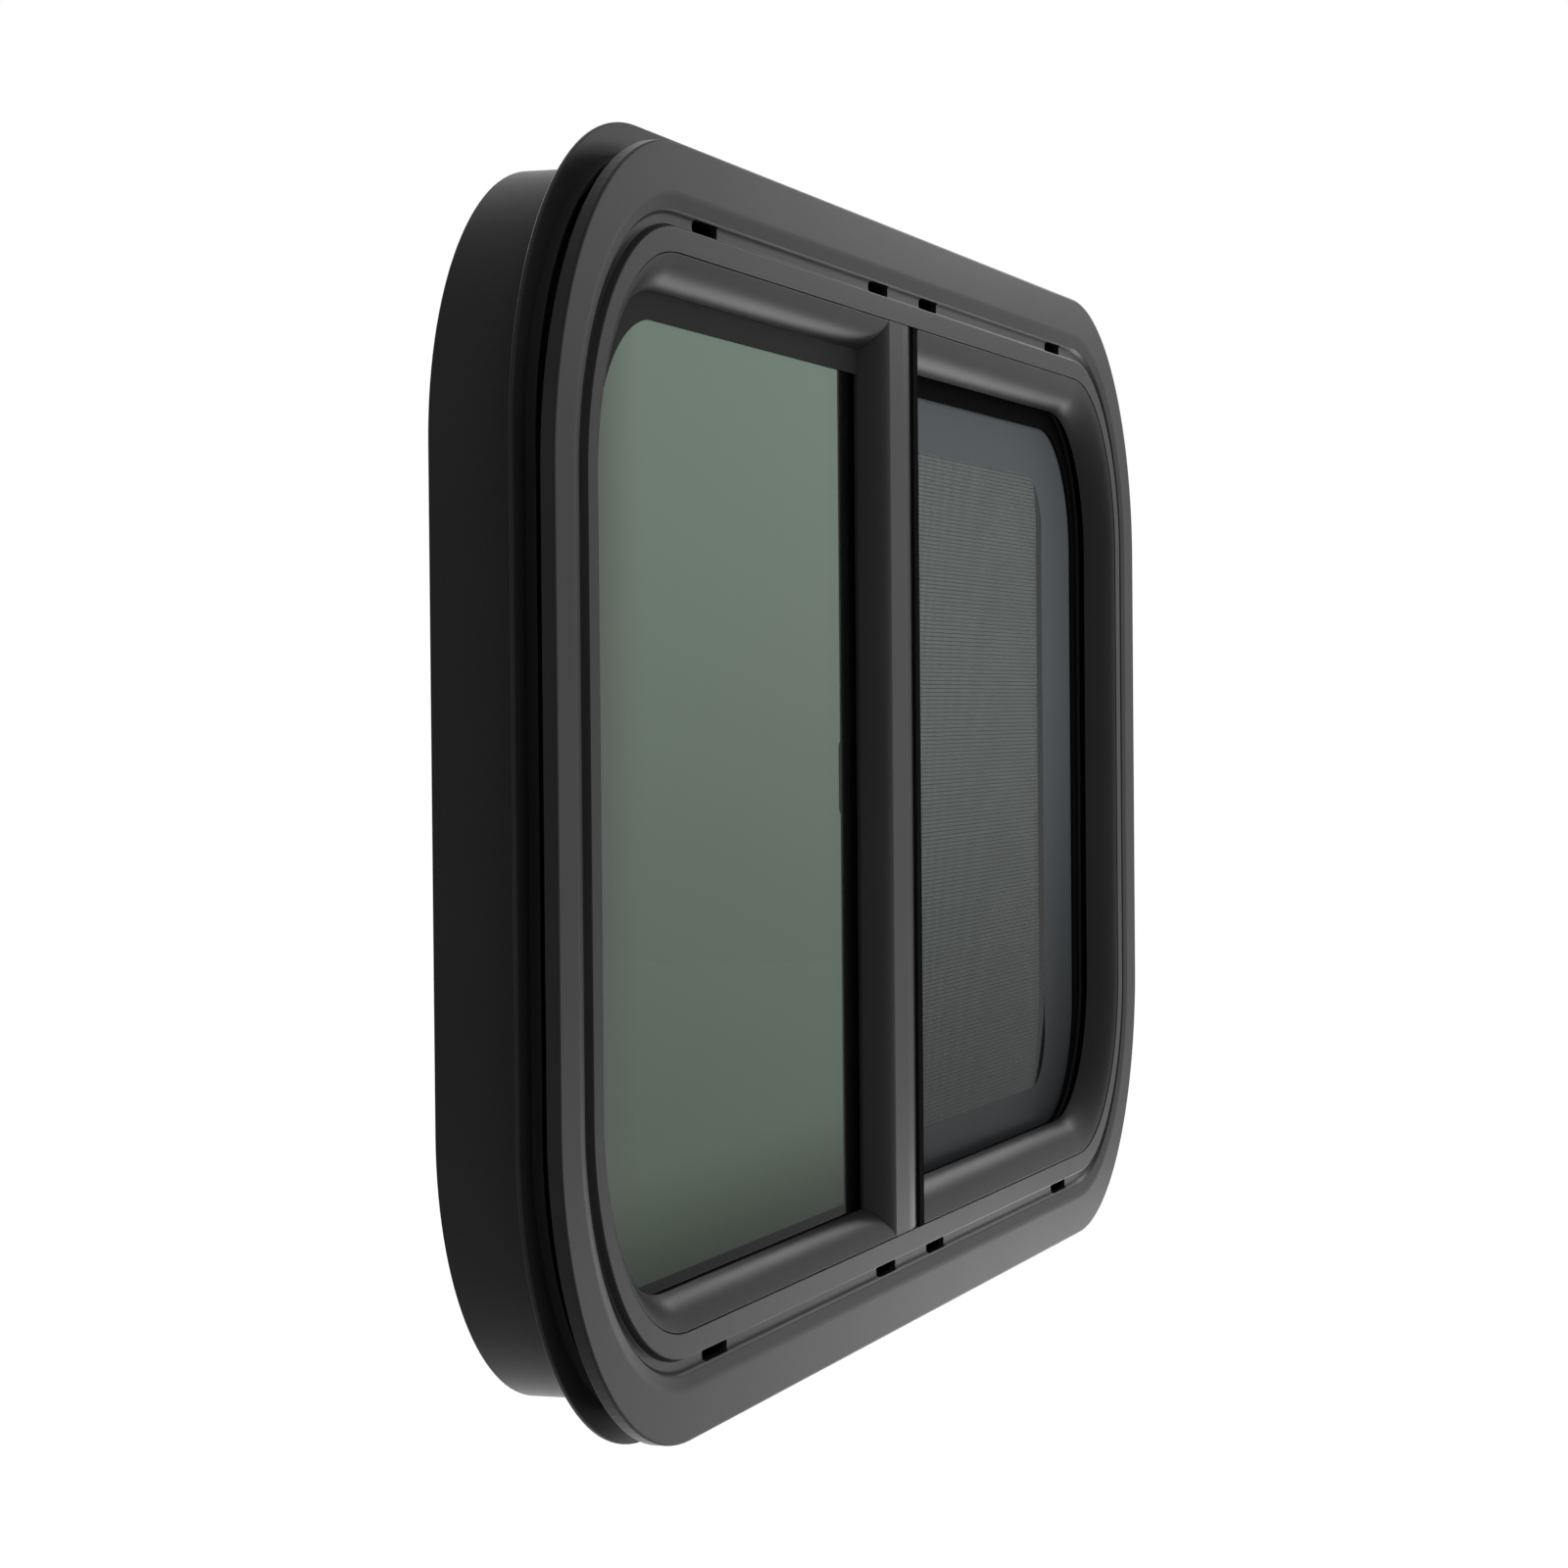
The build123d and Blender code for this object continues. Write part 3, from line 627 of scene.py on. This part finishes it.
# %% [markdown]
# ## Finishes
# The metal has a satin powder coat: a near black paint that melts into a skin with a faint peel.
# Seen almost edge on, most of its grey is reflected white, so the paint itself is dark.
# A bump from fine noise gives the peel, and slow noise keeps large flats from looking printed.

# %% Powder coat, plastic, rubber and thread
CLOUD = 70 * MM
CLOUD_SHARE = 0.6
TONE_SPREAD = 0.3
ROUGH_SPREAD = 0.06
PEEL_STRENGTH = 0.2
GRAIN_DETAIL = 2.0


def new_finish(name):
    """A material with an empty node tree, and a wire to build it with."""
    material = bpy.data.materials.new(name)
    material.use_nodes = True
    material.node_tree.nodes.clear()
    return material, Wire(material.node_tree)


def place_on(wire):
    """The place of a point on the object, as a vector."""
    return wire.node("ShaderNodeTexCoord", out="Object")


def speckle(wire, size):
    """Noise with grains of about a given size that stays put on the object."""
    inputs = {"Vector": place_on(wire), "Scale": 1 / size, "Detail": GRAIN_DETAIL}
    return wire.node("ShaderNodeTexNoise", {}, inputs)


def paint(wire, inputs):
    """Ends a material in one shader with the given sockets."""
    shader = wire.node("ShaderNodeBsdfPrincipled", {}, inputs)
    wire.node("ShaderNodeOutputMaterial", {}, {"Surface": shader})


def dark_skin(name, tone, grain, depth, rough, gloss):
    """A dark finish with a fine grain: tone is its colour, gloss its refractive index."""
    material, wire = new_finish(name)
    peel = speckle(wire, grain)
    cloud = speckle(wire, CLOUD)
    shade = cloud * CLOUD_SHARE + peel * (1 - CLOUD_SHARE)
    darker = colour(*((1 - TONE_SPREAD) * part for part in tone))
    lighter = colour(*((1 + TONE_SPREAD) * part for part in tone))
    bump_inputs = {"Strength": PEEL_STRENGTH, "Distance": depth, "Height": peel}
    paint(wire, {
        "Base Color": shade.mix(darker, lighter), "Roughness": cloud * ROUGH_SPREAD + rough,
        "IOR": gloss, "Normal": wire.node("ShaderNodeBump", {}, bump_inputs),
    })
    return material


frame_coat = dark_skin("satin_coat", (0.017, 0.017, 0.0175), 1.2 * MM, 0.05 * MM, 0.28, 1.155)
screen_coat = dark_skin("screen_coat", (0.012, 0.012, 0.0125), 0.9 * MM, 0.05 * MM, 0.36, 1.25)
black_plastic = dark_skin("moulded_plastic", (0.011, 0.011, 0.012), 0.5 * MM, 0.06 * MM, 0.45, 1.35)
black_rubber = dark_skin("black_rubber", (0.006, 0.006, 0.006), 0.7 * MM, 0.08 * MM, 0.62, 1.03)
soft_seal = dark_skin("soft_seal", (0.016, 0.016, 0.016), 0.6 * MM, 0.06 * MM, 0.55, 1.1)
weave_coat = dark_skin("thread_coat", (0.04, 0.044, 0.042), 0.3 * MM, 0.02 * MM, 0.5, 1.25)
print("dark finishes: 6")

# %% [markdown]
# ## Tinted glass
# Both panes are tinted safety glass, and the sliding one has a dark printed border.
# The tint could be a volume, but a colour on the surface renders faster and exports well.
# On the fixed pane the colour carries painted shade: lighter at the top, darker at the bottom and much
# darker near the sill and the left jamb, where the frame's shade falls. The border of the sliding pane
# is a mask, the distance to a rounded rectangle, that mixes glass with printed enamel. Both its print
# and its clear glass are painted lighter at the top and darker at the bottom, a painted reflection and
# shade. Like a real print, the border lies on one face only: on both, its edges would part when the
# pane is seen from the side.

# %% Glass
GLASS_GLOSS = 1.06
GLASS_ROUGH = 0.02
# Painted shade: the green is the glass's own, but it is painted lighter at the top, darker at the
# bottom and much darker near the sill and the left jamb.
TINT_PAINTED_LIT_TOP = colour(0.142, 0.188, 0.15)
TINT_PAINTED_SHADE_LOW = colour(0.076, 0.104, 0.077)
PAINTED_SILL_SHADE = colour(0.016, 0.023, 0.017)
PAINTED_JAMB_SHADE = colour(0.08, 0.087, 0.082)
SILL_SHADE_FADE = (0, 60 * MM)
JAMB_SHADE_FADE = (10 * MM, 75 * MM)


def glass_inputs(tint_and_painted_shade):
    return {
        "Base Color": tint_and_painted_shade, "Roughness": GLASS_ROUGH, "IOR": GLASS_GLOSS, "Transmission Weight": 1.0,
    }


green_glass, wire = new_finish("green_glass")
place = place_on(wire)
x, z = place.part("X"), place.part("Z")
pane_low, pane_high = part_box("fixed_glass")
# Painted shade: lighter towards the top, and darkened near the sill and the left jamb where shade
# falls.
tint_and_painted_shade = z.rise(pane_low.z, pane_high.z).mix(TINT_PAINTED_SHADE_LOW, TINT_PAINTED_LIT_TOP)
clear_of_sill_shade = (z - pane_low.z).rise(*SILL_SHADE_FADE)
clear_of_jamb_shade = (x - pane_low.x).rise(*JAMB_SHADE_FADE)
paint(wire, glass_inputs(clear_of_sill_shade.mix(PAINTED_SILL_SHADE, clear_of_jamb_shade.mix(PAINTED_JAMB_SHADE, tint_and_painted_shade))))
print("fixed pane from", [round(v, 3) for v in pane_low], "to", [round(v, 3) for v in pane_high])

# %% Glass with a printed border
CLEAR_LOW = (45 * MM, -154 * MM)
CLEAR_HIGH = (288 * MM, 140 * MM)
CLEAR_R = 27 * MM
# Painted reflection and shade: the dark print and the tinted glass are real, but both are painted
# lighter at the top and darker at the bottom.
PRINT_PAINTED_LIT_TOP = colour(0.132, 0.146, 0.155)
PRINT_PAINTED_SHADE_LOW = colour(0.04, 0.043, 0.046)
CLEAR_PAINTED_LIT_TOP = colour(0.225, 0.262, 0.254)
CLEAR_PAINTED_SHADE_LOW = colour(0.042, 0.052, 0.044)
PAINTED_LIGHT_FADE = (-190 * MM, 60 * MM)
PRINT_EDGE = 0.3 * MM
FACE_EDGE = 0.5 * MM
ENAMEL_ROUGH = 0.3
ENAMEL_GLOSS = 1.05


def round_window(wire, x, z, low, high, radius):
    """Distance to a rounded rectangle between two corners: below 0 inside it."""
    middle_x, middle_z = (low[0] + high[0]) / 2, (low[1] + high[1]) / 2
    over_x = wire.sum("MAXIMUM", abs(x - middle_x) - ((high[0] - low[0]) / 2 - radius), 0.0)
    over_z = wire.sum("MAXIMUM", abs(z - middle_z) - ((high[1] - low[1]) / 2 - radius), 0.0)
    return wire.sum("SQRT", over_x * over_x + over_z * over_z) - radius


printed_glass, wire = new_finish("printed_glass")
place = place_on(wire)
x, y, z = (place.part(axis) for axis in ("X", "Y", "Z"))
pane_middle = sum(corner.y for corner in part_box("sliding_glass")) / 2
on_back = y.rise(pane_middle - FACE_EDGE, pane_middle + FACE_EDGE)
past_clear = round_window(wire, x, z, CLEAR_LOW, CLEAR_HIGH, CLEAR_R)
border = past_clear.rise(-PRINT_EDGE, PRINT_EDGE) * (1 - on_back)
# Painted reflection and shade: the pane's colours grow lighter towards its top.
painted_light_rise = z.rise(*PAINTED_LIGHT_FADE)
clear_inputs = glass_inputs(painted_light_rise.mix(CLEAR_PAINTED_SHADE_LOW, CLEAR_PAINTED_LIT_TOP))
clear = wire.node("ShaderNodeBsdfPrincipled", {}, clear_inputs)
print_and_painted_light = painted_light_rise.mix(PRINT_PAINTED_SHADE_LOW, PRINT_PAINTED_LIT_TOP)
enamel_inputs = {"Base Color": print_and_painted_light, "Roughness": ENAMEL_ROUGH, "IOR": ENAMEL_GLOSS}
enamel = wire.node("ShaderNodeBsdfPrincipled", {}, enamel_inputs)
pane = wire.node("ShaderNodeMixShader", {}, {0: border, 1: clear, 2: enamel})
wire.node("ShaderNodeOutputMaterial", {}, {"Surface": pane})
print("clear part:", CLEAR_LOW, "to", CLEAR_HIGH)

# %% Every piece gets its finish
FINISHES = {
    "frame_coat": frame_coat, "green_glass": green_glass, "grey_glass": printed_glass,
    "soft_seal": soft_seal, "black_rubber": black_rubber, "screen_coat": screen_coat,
    "black_plastic": black_plastic, "screen_weave": weave_coat,
}
slot_of = {part["node"]: part["material_slot"] for part in frame["record"]["subparts"]}
dressed = [(piece, slot_of[name]) for name, piece in nodes.items()]
dressed += [(piece, piece["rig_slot"]) for piece in (outer, fixed, sliding, clamp, cloth, screws)]
for piece, slot in dressed:
    piece.data.materials.clear()
    piece.data.materials.append(FINISHES[slot])
print("dressed:", len(dressed), "pieces")
